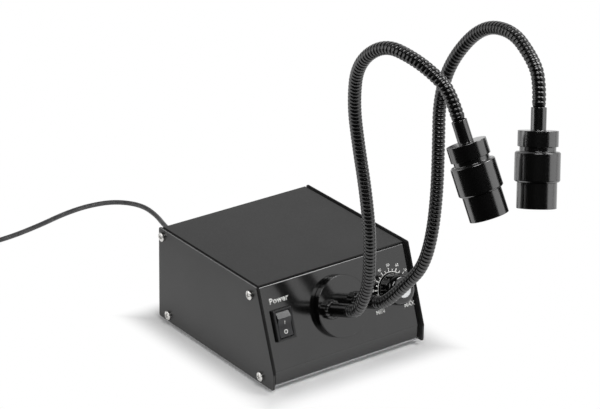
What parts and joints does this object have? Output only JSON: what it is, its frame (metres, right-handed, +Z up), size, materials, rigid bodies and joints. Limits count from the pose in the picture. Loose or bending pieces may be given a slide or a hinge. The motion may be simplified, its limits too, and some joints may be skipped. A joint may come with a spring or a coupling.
{
  "type": "fiber optic illuminator",
  "caption": "Bench light source in a black sheet-metal case with a sloping control panel, whose paired gooseneck light guides arch forward to focusing heads.",
  "frame": {"origin": "on the surface that the feet stand on, under the middle of the whole unit with its goosenecks, the supply cord left out", "axes": "+X to the right along the front panel, +Y towards the back, +Z up"},
  "size_m": [0.2822, 0.4915, 0.2726],
  "materials": {
    "plate_paint": "satin black-grey powder coat",
    "cover_paint": "fine matt dark grey powder coat",
    "panel_gloss": "gloss black",
    "pan_steel": "zinc-plated sheet",
    "screw_nickel": "bright nickel",
    "nut_zinc": "zinc plated",
    "foot_rubber": "matt",
    "switch_plastic": "fine grained black",
    "rocker_plastic": "satin black with white marks",
    "pot_metal": "nickel plated",
    "shaft_brass": "turned",
    "knob_plastic": "gloss black",
    "knob_cap_metal": "spun silver",
    "bushing_metal": "turned",
    "holder_metal": "black anodised",
    "optic_glass": "polished",
    "board_green": "solder mask",
    "board_white": "white solder mask on aluminium",
    "emitter_yellow": "phosphor",
    "sink_aluminium": "extruded",
    "fan_plastic": "black moulding",
    "standoff_nylon": "natural nylon",
    "capacitor_sleeve": "shrink sleeve",
    "terminal_green": "moulded",
    "wire_pvc": "PVC",
    "guide_gloss": "gloss black",
    "stem_steel": "ground",
    "gland_black": "satin black",
    "sleeve_black": "gloss black",
    "hose_black": "satin black interlocked steel hose",
    "fibre_glass": "drawn fibres",
    "head_black": "black anodised, polished",
    "cord_pvc": "dark grey PVC",
    "grommet_pvc": "matt",
    "adapter_plastic": "fine grained black",
    "pin_nickel": "nickel plated brass"
  },
  "bodies": {
    "case": {"base_pan": "pan_steel", "top_cover": "cover_paint", "front_panel": "panel_gloss", "rear_panel": "plate_paint", "side_plate_left": "plate_paint", "side_plate_right": "plate_paint", "case_screws": "screw_nickel", "case_nuts": "nut_zinc", "rubber_feet": "foot_rubber", "switch_body": "switch_plastic", "dimmer_pot": "pot_metal", "pot_nut": "nut_zinc", "port_bushing": "bushing_metal", "port_screws": "nut_zinc", "lamp_holder": "holder_metal", "condenser_lens": "optic_glass", "led_board": "board_white", "led_emitter": "emitter_yellow", "heat_sink": "sink_aluminium", "fan_frame": "fan_plastic", "driver_board": "board_green", "board_standoffs": "standoff_nylon", "board_capacitors": "capacitor_sleeve", "terminal_block": "terminal_green", "internal_wires": "wire_pvc", "guide_block": "guide_gloss", "guide_stem": "stem_steel", "neck_glands": "gland_black", "base_ferrules": "sleeve_black", "guide_fibres": "fibre_glass", "neck_bases": "hose_black", "cord_grommet": "grommet_pvc", "supply_cord": "cord_pvc", "cord_coil": "cord_pvc", "cord_tail": "cord_pvc", "adapter_body": "adapter_plastic", "adapter_pins": "pin_nickel"},
    "rocker": {"switch_rocker": "rocker_plastic"},
    "dimmer": {"dimmer_knob": "knob_plastic", "knob_cap": "knob_cap_metal", "pot_shaft": "shaft_brass"},
    "fan": {"fan_rotor": "fan_plastic"},
    "neck_1": {"neck_1_riser": "hose_black", "fibres_1_riser": "fibre_glass"},
    "arch_1": {"neck_1_crown": "hose_black", "fibres_1_crown": "fibre_glass"},
    "head_1": {"head_1_cap": "head_black", "head_1_body": "head_black", "head_1_fibre": "fibre_glass"},
    "focus_1": {"head_1_barrel": "head_black", "head_1_lens": "optic_glass"},
    "neck_2": {"neck_2_riser": "hose_black", "fibres_2_riser": "fibre_glass"},
    "arch_2": {"neck_2_crown": "hose_black", "fibres_2_crown": "fibre_glass"},
    "head_2": {"head_2_cap": "head_black", "head_2_body": "head_black", "head_2_fibre": "fibre_glass"},
    "focus_2": {"head_2_barrel": "head_black", "head_2_lens": "optic_glass"}
  },
  "joints": [
    {"name": "rocker_tilt", "type": "hinge", "parent": "case", "child": "rocker", "pos_m": [-0.0463, 0.0248, 0.04177], "axis": [1, 0, 0], "range_deg": [-18, 0]},
    {"name": "dimmer_turn", "type": "hinge", "parent": "case", "child": "dimmer", "pos_m": [0.0444, 0.02386, 0.04212], "axis": [0, -0.9392, 0.3433], "range_deg": [-270, 0]},
    {"name": "fan_spin", "type": "hinge", "parent": "case", "child": "fan", "pos_m": [0, 0.07082, 0.02495], "axis": [0, -0.9392, 0.3433], "continuous": true},
    {"name": "neck_1_lean", "type": "hinge", "parent": "case", "child": "neck_1", "pos_m": [-0.01475, -0.02465, 0.107], "axis": [1, 0, 0], "range_deg": [-20, 20]},
    {"name": "neck_1_swing", "type": "hinge", "parent": "neck_1", "child": "arch_1", "pos_m": [-0.0375, -0.07515, 0.26225], "axis": [0, 0, 1], "range_deg": [-40, 2]},
    {"name": "head_1_tilt", "type": "hinge", "parent": "arch_1", "child": "head_1", "pos_m": [-0.0265, -0.1179, 0.2325], "axis": [1, 0, 0], "range_deg": [-30, 30]},
    {"name": "focus_1_slide", "type": "slide", "parent": "head_1", "child": "focus_1", "axis": [0.091, -0.4192, -0.9033], "range_m": [0, 0.005]},
    {"name": "neck_2_lean", "type": "hinge", "parent": "case", "child": "neck_2", "pos_m": [0.02, -0.04065, 0.1025], "axis": [1, 0, 0], "range_deg": [-20, 20]},
    {"name": "neck_2_swing", "type": "hinge", "parent": "neck_2", "child": "arch_2", "pos_m": [0.028, -0.0869, 0.26675], "axis": [0, 0, 1], "range_deg": [-2, 40]},
    {"name": "head_2_tilt", "type": "hinge", "parent": "arch_2", "child": "head_2", "pos_m": [0.0225, -0.1339, 0.235], "axis": [1, 0, 0], "range_deg": [-30, 30]},
    {"name": "focus_2_slide", "type": "slide", "parent": "head_2", "child": "focus_2", "axis": [-0.211, -0.279, -0.9368], "range_m": [0, 0.005]}
  ]
}
